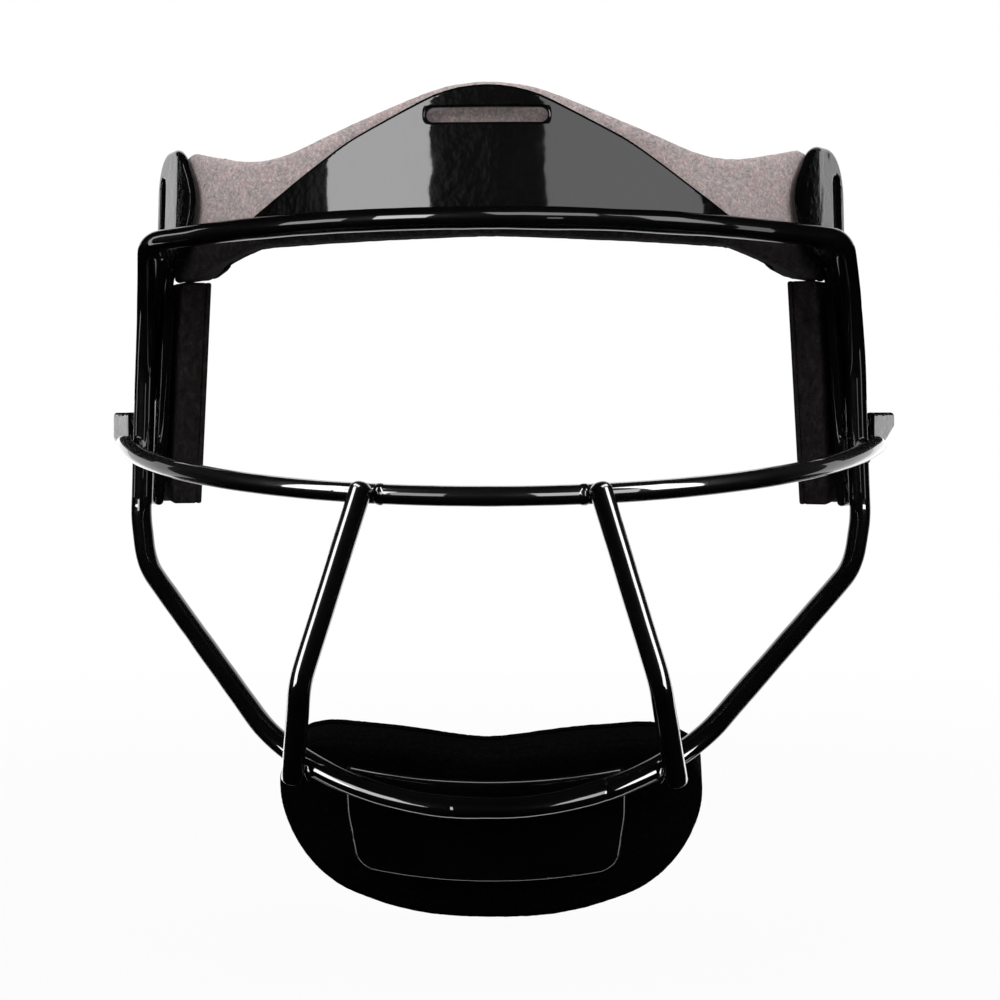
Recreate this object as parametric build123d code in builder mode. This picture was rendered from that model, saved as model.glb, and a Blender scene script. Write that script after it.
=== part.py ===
from build123d import *
from math import atan2, cos, degrees, radians, sin, tan
import os

os.makedirs("parts", exist_ok=True)

# Stock, coating included
rod_diameter = 5.4
nose_rod_diameter = 4.8
sheet_thickness = 2.4
sheet_edge_round = 0.8
overrun = 40.0

# Gaps between pieces that aren't welded
soft_gap = 0.3

# Plan of the forehead, seen from above: a wide arc, a tighter arc at each temple, then straight
forehead_radius = 123.8
forehead_front = 56.8
temple_radius = 30.0
forehead_turn = 33.5
temple_turn = 66.0
side_length = 24.0

# Brow wire: an arc across the forehead, a sharp bend at each temple, a run down each side
brow_height = 69.5
brow_front = 64.0
brow_bow_radius = 131.0
brow_slope = 6.0
brow_arc_half_width = 74.0
brow_corner_lead = 16.2
brow_corner_radius = 9.0
run_knee_half_width = 91.8
run_knee_back = 11.5
run_knee_height = 48.0
run_knee_radius = 40.0
run_end_half_width = 93.8
run_end_back = 10.0
run_end_height = 0.9

# Jaw wires and chin bar: one loop below the side runs, closed by a short bar off the middle
jaw_lead_share = 0.104
jaw_bend_half_width = 91.8
jaw_bend_back = 14.0
jaw_bend_drop = 16.5
jaw_top_radius = 14.0
jaw_bend_radius = 16.0
chin_corner_half_width = 51.0
chin_corner_front = 67.0
chin_corner_drop = 55.3
chin_corner_radius = 36.0
chin_flat_half_width = 24.0
chin_front = 76.5
chin_drop = 69.7
chin_bow_radius = 75.0
chin_joint_left = 7.5
chin_joint_right = 29.0

# Middle bar: one arc in a plane that rises towards the back, its ends against the side runs
nose_front = 84.0
nose_height = 3.8
nose_slope = 8.7
nose_rest_turn = 16.5
nose_rest_share = 0.967

# Inner bars: from the front of the middle bar to the front of the chin bar
inner_top_half_width = 27.2
inner_top_height = 6.9
inner_bend_half_width = 41.3
inner_bend_front = 90.0
inner_bend_drop = 38.7
inner_bend_radius = 12.0
inner_foot_half_width = 45.5
inner_foot_front = 73.0
inner_foot_drop = 64.0
rod_end_round = 1.6

# Forehead plate
plate_half_width = 60.0
plate_low = 68.6
plate_corner_height = 70.2
plate_shoulder_half_width = 34.1
plate_shoulder_height = 87.7
plate_apex_height = 105.2
plate_corner_round = 1.6
plate_peak_radius = 34.0
plate_shoulder_radius = 60.0
slot_length = 28.4
slot_width = 4.2
slot_below_peak = 6.9

# Side plates: an ear above the brow wire and a strip down behind each side run
side_top = 90.4
side_drop = 1.1
side_lean_share = 0.029
ear_foot_front = 29.0
ear_low = 63.0
ear_bulge_front = 35.6
ear_bulge_height = 77.0
ear_top_front = 27.0
ear_rear_back = 7.0
ear_front_round = 12.0
ear_rear_round = 13.0
ear_foot_round = 5.0
strip_front_back = 17.2
strip_foot_back = 12.2
strip_rear_back = 1.5
ear_slot_length = 20.0
ear_slot_width = 4.2
ear_slot_margin = 3.4
ear_slot_low = 63.6

# Strap tabs, welded outside the side runs at the ends of the middle bar
tab_behind = 1.85
tab_flare = 7.2
tab_reach = 13.2
tab_top = 23.2
tab_rear_low = 17.6
tab_low = 12.0
tab_foot_share = 0.4
tab_round = 1.4

# Chin plate, bent round the back of the chin bar and tilted with the chin
chin_tilt = 22.0
chin_plate_radius = 84.0
chin_plate_top_half_width = 32.7
chin_plate_half_width = 34.1
chin_plate_low_half_width = 32.2
chin_plate_above = 5.0
chin_plate_waist = 8.0
chin_plate_below = 21.8
chin_plate_corner = 5.0
chin_plate_top_corner = 2.0

# Pads: a knit facing, foam and a lining against the skin, held by hook-and-loop fastener
facing_thickness = 1.2
lining_thickness = 1.2
fastener_thickness = 1.4
forehead_foam_thickness = 9.0
temple_foam_thickness = 6.4
chin_foam_thickness = 8.0
pad_side_length = 8.0
pad_apex_height = 106.7
pad_peak_radius = 48.0
pad_dip_half_width = 56.0
pad_dip_height = 84.4
pad_dip_radius = 37.0
pad_lobe_half_width = 77.0
pad_lobe_height = 89.6
pad_lobe_radius = 8.0
pad_end_half_width = 92.0
pad_end_height = 84.0
pad_low = 65.6
pad_low_half_width = 58.5
pad_low_radius = 25.0
pad_foot_half_width = 76.0
pad_foot_height = 57.4
fastener_half_width = 40.0
fastener_low = 70.0
fastener_height = 12.0
temple_pad_top = 56.6
temple_pad_drop = 0.8
temple_pad_hollow = 1.2
temple_pad_lead = 8.0
temple_pad_foot_lead = 13.0
temple_pad_length = 25.6
temple_fastener_margin = 6.0
chin_pad_half_width = 52.3
chin_pad_above = 10.9
chin_pad_below = 35.3
chin_pad_dip_share = 0.83
chin_pad_dip_round = 50.0
chin_pad_shares = [(0.396, 1.0), (0.81, 0.62), (1.0, -0.15), (1.0, -0.46), (0.86, -0.88), (0.38, -1.0)]
chin_pad_round_shares = [0.5, 0.17, 0.25, 0.25, 0.21, 0.75]
chin_fastener_half_width = 26.0
chin_fastener_margin = 3.0


def point_on(centre, radius, turn, side=1):
    # A point of an arc in plan, turned from the front of the face towards the side
    return (side * (centre[0] + radius * sin(radians(turn))), centre[1] - radius * cos(radians(turn)))


# Centres of the plan's arcs, and the way that its straight sides run
bow_centre = (0, forehead_radius - forehead_front)
temple_centre = (
    (forehead_radius - temple_radius) * sin(radians(forehead_turn)),
    forehead_radius - forehead_front - (forehead_radius - temple_radius) * cos(radians(forehead_turn)),
)
side_way = (cos(radians(temple_turn)), sin(radians(temple_turn)))


def plan_side(depth, length, side=1):
    # End of the straight side of the plan, at a depth behind the forehead line
    x, y = point_on(temple_centre, temple_radius - depth, temple_turn)
    return (side * (x + length * side_way[0]), y + length * side_way[1])


def plan_temple(depth, length, side):
    # Line of one temple and its straight side, at a depth behind the forehead line
    ThreePointArc(
        point_on(bow_centre, forehead_radius - depth, forehead_turn, side),
        point_on(temple_centre, temple_radius - depth, (forehead_turn + temple_turn) / 2, side),
        point_on(temple_centre, temple_radius - depth, temple_turn, side),
    )
    Line(point_on(temple_centre, temple_radius - depth, temple_turn, side), plan_side(depth, length, side))


def head_band(front_depth, rear_depth, length, height):
    # Plan of a layer that follows the whole forehead, between two depths
    with BuildSketch(Plane.XY.offset(height)) as band:
        with BuildLine():
            for depth in (front_depth, rear_depth):
                ThreePointArc(
                    point_on(bow_centre, forehead_radius - depth, forehead_turn, -1),
                    point_on(bow_centre, forehead_radius - depth, 0),
                    point_on(bow_centre, forehead_radius - depth, forehead_turn),
                )
                plan_temple(depth, length, -1)
                plan_temple(depth, length, 1)
            for side in (-1, 1):
                Line(plan_side(front_depth, length, side), plan_side(rear_depth, length, side))
        make_face()
    return band.sketch


def side_band(front_depth, rear_depth, length):
    # Plan of a layer at the right temple only
    with BuildSketch(Plane.XY.offset(side_top)) as band:
        with BuildLine():
            plan_temple(front_depth, length, 1)
            plan_temple(rear_depth, length, 1)
            Line(
                point_on(bow_centre, forehead_radius - front_depth, forehead_turn),
                point_on(bow_centre, forehead_radius - rear_depth, forehead_turn),
            )
            Line(plan_side(front_depth, length), plan_side(rear_depth, length))
        make_face()
    return band.sketch


def rod_section(path, diameter):
    with BuildSketch(Plane(origin=path @ 0, z_dir=path % 0)) as section:
        Circle(diameter / 2)
    return section.sketch


# Brow wire
brow_plane = Plane(
    origin=(0, -brow_front, brow_height),
    x_dir=(1, 0, 0),
    z_dir=(0, sin(radians(brow_slope)), cos(radians(brow_slope))),
)
brow_side_share = brow_arc_half_width / brow_bow_radius
brow_back_share = (1 - brow_side_share**2) ** 0.5
brow_arc_depth = brow_bow_radius * (1 - brow_back_share)
brow_arc_end = brow_plane.from_local_coords(Vector(brow_arc_half_width, brow_arc_depth, 0))
brow_corner = brow_plane.from_local_coords(
    Vector(
        brow_arc_half_width + brow_back_share * brow_corner_lead,
        brow_arc_depth + brow_side_share * brow_corner_lead,
        0,
    )
)
brow_points = [
    (brow_arc_end.X, brow_arc_end.Y, brow_arc_end.Z),
    (brow_corner.X, brow_corner.Y, brow_corner.Z),
    (run_knee_half_width, -run_knee_back, run_knee_height),
    (run_end_half_width, -run_end_back, run_end_height),
]
with BuildPart() as brow_wire:
    with BuildLine() as brow_path:
        for side in (-1, 1):
            FilletPolyline(
                *[(side * x, y, z) for x, y, z in brow_points],
                radius=[brow_corner_radius, run_knee_radius],
            )
        ThreePointArc(
            (-brow_arc_end.X, brow_arc_end.Y, brow_arc_end.Z),
            (0, -brow_front, brow_height),
            (brow_arc_end.X, brow_arc_end.Y, brow_arc_end.Z),
        )
    brow_line = Wire(brow_path.edges())
    sweep(rod_section(brow_line, rod_diameter), path=brow_line)
brow_wire.part.label = "brow_wire"
export_step(brow_wire.part, "parts/brow_wire.step")

# Lower loop: jaw wires and the bar that closes them at the chin
run_end = brow_points[3]
jaw_top = [end + (end - knee) * jaw_lead_share for end, knee in zip(run_end, brow_points[2])]
jaw_points = [
    run_end,
    (jaw_top[0], jaw_top[1], jaw_top[2]),
    (jaw_bend_half_width, -jaw_bend_back, -jaw_bend_drop),
    (chin_corner_half_width, -chin_corner_front, -chin_corner_drop),
    (chin_flat_half_width, -chin_front, -chin_drop),
]
jaw_radii = [jaw_top_radius, jaw_bend_radius, chin_corner_radius, chin_bow_radius]
with BuildLine() as jaw_path:
    FilletPolyline(
        *jaw_points,
        *[(-x, y, z) for x, y, z in reversed(jaw_points)],
        radius=jaw_radii + jaw_radii[::-1],
    )
jaw_line = Wire(jaw_path.edges())

with BuildPart() as jaw_wire_right:
    sweep(rod_section(jaw_line, rod_diameter), path=jaw_line)
    split(bisect_by=Plane.YZ.offset(chin_joint_right), keep=Keep.TOP)
jaw_wire_right.part.label = "jaw_wire_right"
export_step(jaw_wire_right.part, "parts/jaw_wire_right.step")

with BuildPart() as jaw_wire_left:
    sweep(rod_section(jaw_line, rod_diameter), path=jaw_line)
    split(bisect_by=Plane.YZ.offset(-chin_joint_left), keep=Keep.BOTTOM)
jaw_wire_left.part.label = "jaw_wire_left"
export_step(jaw_wire_left.part, "parts/jaw_wire_left.step")

with BuildPart() as chin_bar:
    sweep(rod_section(jaw_line, rod_diameter), path=jaw_line)
    split(bisect_by=Plane.YZ.offset(chin_joint_right), keep=Keep.BOTTOM)
    split(bisect_by=Plane.YZ.offset(-chin_joint_left), keep=Keep.TOP)
chin_bar.part.label = "chin_bar"
export_step(chin_bar.part, "parts/chin_bar.step")

# Middle bar: its ends rest on the outer front of the side runs
nose_plane = Plane(
    origin=(0, -nose_front, nose_height),
    x_dir=(1, 0, 0),
    z_dir=(0, -sin(radians(nose_slope)), cos(radians(nose_slope))),
)
nose_end_height = nose_height + (nose_front - run_end_back) * tan(radians(nose_slope))
run_share = (nose_end_height - run_end_height) / (run_knee_height - run_end_height)
run_half_width = run_end_half_width + (run_knee_half_width - run_end_half_width) * run_share
run_back = run_end_back + (run_knee_back - run_end_back) * run_share
nose_rest = (rod_diameter + nose_rod_diameter) / 2 * nose_rest_share
nose_end_half_width = run_half_width + nose_rest * cos(radians(nose_rest_turn))
nose_end_back = run_back + nose_rest * sin(radians(nose_rest_turn))
nose_depth = (nose_front - nose_end_back) / cos(radians(nose_slope))
nose_bow_radius = (nose_end_half_width**2 + nose_depth**2) / (nose_depth * 2)
nose_half_turn = degrees(atan2(nose_end_half_width, nose_bow_radius - nose_depth))
nose_centre = (0, nose_bow_radius)
nose_axis = Axis(nose_plane.from_local_coords(nose_centre), nose_plane.z_dir)
with BuildPart() as middle_bar:
    with BuildLine(nose_plane) as nose_path:
        ThreePointArc(
            point_on(nose_centre, nose_bow_radius, nose_half_turn, -1),
            point_on(nose_centre, nose_bow_radius, 0),
            point_on(nose_centre, nose_bow_radius, nose_half_turn),
        )
    nose_line = Wire(nose_path.edges())
    revolve(rod_section(nose_line, nose_rod_diameter), axis=nose_axis, revolution_arc=nose_half_turn * 2)
    fillet(middle_bar.edges().filter_by(GeomType.CIRCLE).sort_by(Axis.X)[0], rod_end_round)
    fillet(middle_bar.edges().filter_by(GeomType.CIRCLE).sort_by(Axis.X)[-1], rod_end_round)
middle_bar.part.label = "middle_bar"
export_step(middle_bar.part, "parts/middle_bar.step")

# Inner bars: their tops rest on the front of the middle bar
inner_side_share = inner_top_half_width / nose_bow_radius
inner_top_front = (
    nose_front
    - nose_bow_radius * (1 - (1 - inner_side_share**2) ** 0.5)
    + (nose_rod_diameter + rod_diameter + soft_gap) / 2
)
with BuildPart() as inner_bar_right:
    with BuildLine() as inner_path:
        FilletPolyline(
            (inner_top_half_width, -inner_top_front, inner_top_height),
            (inner_bend_half_width, -inner_bend_front, -inner_bend_drop),
            (inner_foot_half_width, -inner_foot_front, -inner_foot_drop),
            radius=inner_bend_radius,
        )
    inner_line = Wire(inner_path.edges())
    sweep(rod_section(inner_line, rod_diameter), path=inner_line)
    fillet(inner_bar_right.edges().sort_by(Axis.Z)[0], rod_end_round)
    fillet(inner_bar_right.edges().sort_by(Axis.Z)[-1], rod_end_round)
inner_bar_right.part.label = "inner_bar_right"
export_step(inner_bar_right.part, "parts/inner_bar_right.step")

with BuildPart() as inner_bar_left:
    mirror(inner_bar_right.part, about=Plane.YZ)
inner_bar_left.part.label = "inner_bar_left"
export_step(inner_bar_left.part, "parts/inner_bar_left.step")

# Forehead plate, bent to the forehead and cut to its peaked outline
fastener_front = -soft_gap - fastener_thickness
plate_rear = fastener_front - soft_gap
plate_front = plate_rear - sheet_thickness
prism_length = forehead_front + overrun
plate_slope = atan2(plate_apex_height - plate_shoulder_height, plate_shoulder_half_width)
plate_peak_height = plate_apex_height - plate_peak_radius * (1 / cos(plate_slope) - 1)
half_plate = [
    (plate_half_width, plate_low),
    (plate_half_width, plate_corner_height),
    (plate_shoulder_half_width, plate_shoulder_height),
]
half_rounds = [plate_corner_round, plate_shoulder_radius]
with BuildPart() as forehead_plate:
    extrude(
        head_band(plate_front, plate_rear, side_length, plate_low),
        amount=plate_apex_height - plate_low,
    )
    with BuildSketch(Plane.XZ):
        with BuildLine():
            FilletPolyline(
                *[(-x, z) for x, z in half_plate],
                (0, plate_apex_height),
                *reversed(half_plate),
                radius=half_rounds + [plate_peak_radius] + half_rounds[::-1],
            )
            Line((plate_half_width, plate_low), (-plate_half_width, plate_low))
        make_face()
        with Locations((0, plate_peak_height - slot_below_peak)):
            SlotOverall(slot_length, slot_width, mode=Mode.SUBTRACT)
    extrude(amount=prism_length, mode=Mode.INTERSECT)
forehead_plate.part.label = "forehead_plate"
export_step(forehead_plate.part, "parts/forehead_plate.step")

# Side plates, leaning outward towards their feet
lean_way = (side_lean_share, 0, -1)
lean_length = side_top + side_drop + overrun
side_reach = side_length + temple_radius + temple_centre[0] + overrun
ear_slot_back = ear_rear_back + ear_slot_margin + ear_slot_width / 2
with BuildPart() as side_plate_right:
    extrude(
        side_band(-soft_gap - sheet_thickness, -soft_gap, side_length + sheet_thickness),
        amount=lean_length,
        dir=lean_way,
    )
    with BuildSketch(Plane.YZ):
        with BuildLine():
            FilletPolyline(
                (-strip_rear_back, -side_drop),
                (-strip_foot_back, -side_drop),
                (-strip_front_back, ear_low - ear_foot_round),
                (-ear_foot_front, ear_low),
                (-ear_bulge_front, ear_bulge_height),
                (-ear_top_front, side_top),
                (-ear_rear_back, side_top),
                (-ear_rear_back, ear_low),
                (-strip_rear_back, ear_low - ear_foot_round),
                radius=[
                    sheet_edge_round,
                    sheet_edge_round,
                    ear_foot_round,
                    sheet_edge_round,
                    ear_front_round,
                    ear_front_round,
                    ear_rear_round,
                    sheet_edge_round,
                    sheet_edge_round,
                ],
                close=True,
            )
        make_face()
        with Locations((-ear_slot_back, ear_slot_low + ear_slot_length / 2)):
            SlotOverall(ear_slot_length, ear_slot_width, rotation=90, mode=Mode.SUBTRACT)
    extrude(amount=side_reach, mode=Mode.INTERSECT)
side_plate_right.part.label = "side_plate_right"
export_step(side_plate_right.part, "parts/side_plate_right.step")

with BuildPart() as side_plate_left:
    mirror(side_plate_right.part, about=Plane.YZ)
side_plate_left.part.label = "side_plate_left"
export_step(side_plate_left.part, "parts/side_plate_left.step")

# Strap tabs
tab_length = (tab_flare**2 + tab_reach**2) ** 0.5
tab_plane = Plane(
    origin=(run_half_width + rod_diameter / 2 + soft_gap, tab_behind - run_back, 0),
    x_dir=(tab_flare, tab_reach, 0),
    z_dir=(tab_reach, -tab_flare, 0),
)
with BuildPart() as strap_tab_right:
    with BuildSketch(tab_plane):
        with BuildLine():
            FilletPolyline(
                (0, tab_low),
                (tab_length * tab_foot_share, tab_low),
                (tab_length, tab_rear_low),
                (tab_length, tab_top),
                (0, tab_top),
                radius=[0, tab_round, tab_round, tab_round, 0],
                close=True,
            )
        make_face()
    extrude(amount=sheet_thickness / 2, both=True)
strap_tab_right.part.label = "strap_tab_right"
export_step(strap_tab_right.part, "parts/strap_tab_right.step")

with BuildPart() as strap_tab_left:
    mirror(strap_tab_right.part, about=Plane.YZ)
strap_tab_left.part.label = "strap_tab_left"
export_step(strap_tab_left.part, "parts/strap_tab_left.step")

# Chin plate: the chin bar rests on its front face
chin_rise = (0, -sin(radians(chin_tilt)), cos(radians(chin_tilt)))
chin_inward = (0, cos(radians(chin_tilt)), sin(radians(chin_tilt)))
chin_seat = (rod_diameter + soft_gap) / 2
chin_origin = (0, -chin_front + chin_seat * chin_inward[1], -chin_drop + chin_seat * chin_inward[2])
chin_plan = Plane(origin=chin_origin, x_dir=(1, 0, 0), z_dir=chin_rise)
chin_view = Plane(origin=chin_origin, x_dir=(1, 0, 0), z_dir=(0, -chin_inward[1], -chin_inward[2]))


def chin_band(front_depth, rear_depth):
    # Plan of a ring round the chin, between two depths behind the chin plate's front face
    with BuildSketch(chin_plan.offset(-chin_pad_below - overrun / 2)) as band:
        with Locations((0, chin_plate_radius)):
            Circle(chin_plate_radius - front_depth)
            Circle(chin_plate_radius - rear_depth, mode=Mode.SUBTRACT)
    return band.sketch


chin_band_height = chin_pad_below + chin_pad_above + overrun
with BuildPart() as chin_plate:
    extrude(chin_band(0, sheet_thickness), amount=chin_band_height)
    with BuildSketch(chin_view):
        with BuildLine():
            FilletPolyline(
                (-chin_plate_top_half_width, chin_plate_above),
                (chin_plate_top_half_width, chin_plate_above),
                (chin_plate_half_width, -chin_plate_waist),
                (chin_plate_low_half_width, -chin_plate_below),
                (-chin_plate_low_half_width, -chin_plate_below),
                (-chin_plate_half_width, -chin_plate_waist),
                radius=[
                    chin_plate_top_corner,
                    chin_plate_top_corner,
                    chin_plate_corner,
                    chin_plate_corner,
                    chin_plate_corner,
                    chin_plate_corner,
                ],
                close=True,
            )
        make_face()
    extrude(amount=-chin_plate_radius, mode=Mode.INTERSECT)
chin_plate.part.label = "chin_plate"
export_step(chin_plate.part, "parts/chin_plate.step")


# Forehead pad
half_pad_top = [
    (pad_end_half_width, pad_end_height),
    (pad_lobe_half_width, pad_lobe_height),
    (pad_dip_half_width, pad_dip_height),
]
half_pad_low = [
    (pad_low_half_width, pad_low),
    (pad_foot_half_width, pad_foot_height),
    (pad_end_half_width, pad_foot_height),
]
half_top_rounds = [0, pad_lobe_radius, pad_dip_radius]
half_low_rounds = [pad_low_radius, pad_lobe_radius, 0]


def forehead_pad_view():
    # Front view of the forehead pad
    with BuildSketch(Plane.XZ) as outline:
        with BuildLine():
            FilletPolyline(
                *[(-x, z) for x, z in half_pad_top],
                (0, pad_apex_height),
                *reversed(half_pad_top),
                *reversed(half_pad_low),
                *[(-x, z) for x, z in half_pad_low],
                radius=half_top_rounds
                + [pad_peak_radius]
                + half_top_rounds[::-1]
                + half_low_rounds[::-1]
                + half_low_rounds,
                close=True,
            )
        make_face()
    return outline.sketch


pad_band_height = pad_apex_height - pad_foot_height
foam_front = facing_thickness + soft_gap
foam_rear = foam_front + forehead_foam_thickness
lining_front = foam_rear + soft_gap
with BuildPart() as forehead_pad_facing:
    extrude(head_band(0, facing_thickness, pad_side_length, pad_foot_height), amount=pad_band_height)
    extrude(forehead_pad_view(), amount=prism_length, both=True, mode=Mode.INTERSECT)
forehead_pad_facing.part.label = "forehead_pad_facing"
export_step(forehead_pad_facing.part, "parts/forehead_pad_facing.step")

with BuildPart() as forehead_pad_foam:
    extrude(head_band(foam_front, foam_rear, pad_side_length, pad_foot_height), amount=pad_band_height)
    extrude(forehead_pad_view(), amount=prism_length, both=True, mode=Mode.INTERSECT)
forehead_pad_foam.part.label = "forehead_pad_foam"
export_step(forehead_pad_foam.part, "parts/forehead_pad_foam.step")

with BuildPart() as forehead_pad_lining:
    extrude(
        head_band(lining_front, lining_front + lining_thickness, pad_side_length, pad_foot_height),
        amount=pad_band_height,
    )
    extrude(forehead_pad_view(), amount=prism_length, both=True, mode=Mode.INTERSECT)
forehead_pad_lining.part.label = "forehead_pad_lining"
export_step(forehead_pad_lining.part, "parts/forehead_pad_lining.step")

# Fastener strip between the forehead plate and its pad
with BuildPart() as forehead_fastener:
    extrude(head_band(fastener_front, -soft_gap, side_length, fastener_low), amount=fastener_height)
    with BuildSketch(Plane.XZ):
        with Locations((0, fastener_low + fastener_height / 2)):
            Rectangle(fastener_half_width * 2, fastener_height)
    extrude(amount=prism_length, mode=Mode.INTERSECT)
forehead_fastener.part.label = "forehead_fastener"
export_step(forehead_fastener.part, "parts/forehead_fastener.step")


# Temple pads, square to the straight sides
temple_start = plan_side(0, 0)
temple_plane = Plane(
    origin=(temple_start[0], temple_start[1], 0),
    x_dir=(side_way[0], side_way[1], 0),
    z_dir=(side_way[1], -side_way[0], 0),
)


def temple_view(margin):
    # Side view of a temple pad, drawn in by a margin, with a hollow foot
    foot = margin - temple_pad_drop
    top = temple_pad_top - margin
    front = temple_pad_lead + margin
    foot_front = temple_pad_foot_lead + margin
    rear = temple_pad_lead + temple_pad_length - margin
    with BuildSketch(temple_plane) as outline:
        with BuildLine():
            Polyline((rear, foot), (rear, top), (front, top), (foot_front, foot))
            ThreePointArc(
                (foot_front, foot),
                ((rear + foot_front) / 2, foot + temple_pad_hollow),
                (rear, foot),
            )
        make_face()
    return outline.sketch


temple_side_length = side_length + temple_pad_length
temple_foam_front = fastener_thickness + soft_gap
temple_foam_rear = temple_foam_front + temple_foam_thickness
temple_lining_front = temple_foam_rear + soft_gap
with BuildPart() as temple_pad_right:
    extrude(
        side_band(temple_foam_front, temple_foam_rear, temple_side_length), amount=lean_length, dir=lean_way
    )
    extrude(temple_view(0), amount=overrun, both=True, mode=Mode.INTERSECT)
temple_pad_right.part.label = "temple_pad_right"
export_step(temple_pad_right.part, "parts/temple_pad_right.step")

with BuildPart() as temple_pad_left:
    mirror(temple_pad_right.part, about=Plane.YZ)
temple_pad_left.part.label = "temple_pad_left"
export_step(temple_pad_left.part, "parts/temple_pad_left.step")

with BuildPart() as temple_lining_right:
    extrude(
        side_band(temple_lining_front, temple_lining_front + lining_thickness, temple_side_length),
        amount=lean_length,
        dir=lean_way,
    )
    extrude(temple_view(0), amount=overrun, both=True, mode=Mode.INTERSECT)
temple_lining_right.part.label = "temple_lining_right"
export_step(temple_lining_right.part, "parts/temple_lining_right.step")

with BuildPart() as temple_lining_left:
    mirror(temple_lining_right.part, about=Plane.YZ)
temple_lining_left.part.label = "temple_lining_left"
export_step(temple_lining_left.part, "parts/temple_lining_left.step")

with BuildPart() as temple_fastener_right:
    extrude(side_band(0, fastener_thickness, temple_side_length), amount=lean_length, dir=lean_way)
    extrude(temple_view(temple_fastener_margin), amount=overrun, both=True, mode=Mode.INTERSECT)
temple_fastener_right.part.label = "temple_fastener_right"
export_step(temple_fastener_right.part, "parts/temple_fastener_right.step")

with BuildPart() as temple_fastener_left:
    mirror(temple_fastener_right.part, about=Plane.YZ)
temple_fastener_left.part.label = "temple_fastener_left"
export_step(temple_fastener_left.part, "parts/temple_fastener_left.step")

# Chin pad
half_chin_pad = [
    (chin_pad_half_width * across, (chin_pad_above if up > 0 else chin_pad_below) * up)
    for across, up in chin_pad_shares
]
chin_pad_rounds = [chin_pad_half_width * share for share in chin_pad_round_shares]


def chin_pad_view():
    # Front view of the chin pad, square to the chin
    with BuildSketch(chin_view) as outline:
        with BuildLine():
            FilletPolyline(
                (0, chin_pad_above * chin_pad_dip_share),
                *half_chin_pad,
                *[(-x, up) for x, up in reversed(half_chin_pad)],
                radius=[chin_pad_dip_round] + chin_pad_rounds + chin_pad_rounds[::-1],
                close=True,
            )
        make_face()
    return outline.sketch


chin_fastener_front = sheet_thickness + soft_gap
chin_facing_front = chin_fastener_front + fastener_thickness + soft_gap
chin_foam_front = chin_facing_front + facing_thickness + soft_gap
chin_foam_rear = chin_foam_front + chin_foam_thickness
chin_lining_front = chin_foam_rear + soft_gap
with BuildPart() as chin_pad_facing:
    extrude(chin_band(chin_facing_front, chin_facing_front + facing_thickness), amount=chin_band_height)
    extrude(chin_pad_view(), amount=-chin_plate_radius, mode=Mode.INTERSECT)
chin_pad_facing.part.label = "chin_pad_facing"
export_step(chin_pad_facing.part, "parts/chin_pad_facing.step")

with BuildPart() as chin_pad_foam:
    extrude(chin_band(chin_foam_front, chin_foam_rear), amount=chin_band_height)
    extrude(chin_pad_view(), amount=-chin_plate_radius, mode=Mode.INTERSECT)
chin_pad_foam.part.label = "chin_pad_foam"
export_step(chin_pad_foam.part, "parts/chin_pad_foam.step")

with BuildPart() as chin_pad_lining:
    extrude(chin_band(chin_lining_front, chin_lining_front + lining_thickness), amount=chin_band_height)
    extrude(chin_pad_view(), amount=-chin_plate_radius, mode=Mode.INTERSECT)
chin_pad_lining.part.label = "chin_pad_lining"
export_step(chin_pad_lining.part, "parts/chin_pad_lining.step")

with BuildPart() as chin_fastener:
    extrude(chin_band(chin_fastener_front, chin_fastener_front + fastener_thickness), amount=chin_band_height)
    with BuildSketch(chin_view):
        with Locations((0, (chin_plate_above - chin_plate_below) / 2)):
            Rectangle(
                chin_fastener_half_width * 2,
                chin_plate_above + chin_plate_below - chin_fastener_margin * 2,
            )
    extrude(amount=-chin_plate_radius, mode=Mode.INTERSECT)
chin_fastener.part.label = "chin_fastener"
export_step(chin_fastener.part, "parts/chin_fastener.step")
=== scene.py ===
import bpy, bmesh
from math import acos, asin, ceil, copysign, cos, exp, pi, radians, sin, sqrt, tan
from mathutils import Matrix, Vector, kdtree, noise


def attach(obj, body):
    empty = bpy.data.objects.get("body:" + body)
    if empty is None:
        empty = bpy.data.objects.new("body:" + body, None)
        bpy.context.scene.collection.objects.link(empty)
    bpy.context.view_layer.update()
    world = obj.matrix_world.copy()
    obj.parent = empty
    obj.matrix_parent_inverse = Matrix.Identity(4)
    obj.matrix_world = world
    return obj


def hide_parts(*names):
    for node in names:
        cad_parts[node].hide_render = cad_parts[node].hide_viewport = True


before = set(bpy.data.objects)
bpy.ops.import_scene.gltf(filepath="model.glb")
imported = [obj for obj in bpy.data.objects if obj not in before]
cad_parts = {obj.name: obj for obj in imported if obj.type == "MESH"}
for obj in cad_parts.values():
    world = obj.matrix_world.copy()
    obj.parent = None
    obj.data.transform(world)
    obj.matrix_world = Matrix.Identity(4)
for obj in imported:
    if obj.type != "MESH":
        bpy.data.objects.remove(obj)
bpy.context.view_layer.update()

scene = bpy.context.scene
mm = 0.001
hair = 0.01  # mm, a length too short to matter
bothWays = ((1, "right"), (-1, "left"))

# How fine the meshes are: distances in mm, sides and rings as counts
meshing = {
    "merge": 0.0005,
    "blankMerge": 0.001,
    "rodPitch": 2.0,
    "rodSides": 32,
    "arcRings": 6,
    "endRings": 6,
    "flatShares": (0.55, 0.3),
    "sheetPitch": 1.5,
    "softPitch": 2.2,
    "rimPitch": 0.5,
    "rimRings": 4,
    "sheetSteps": 10,
    "softSteps": 14,
}


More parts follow.
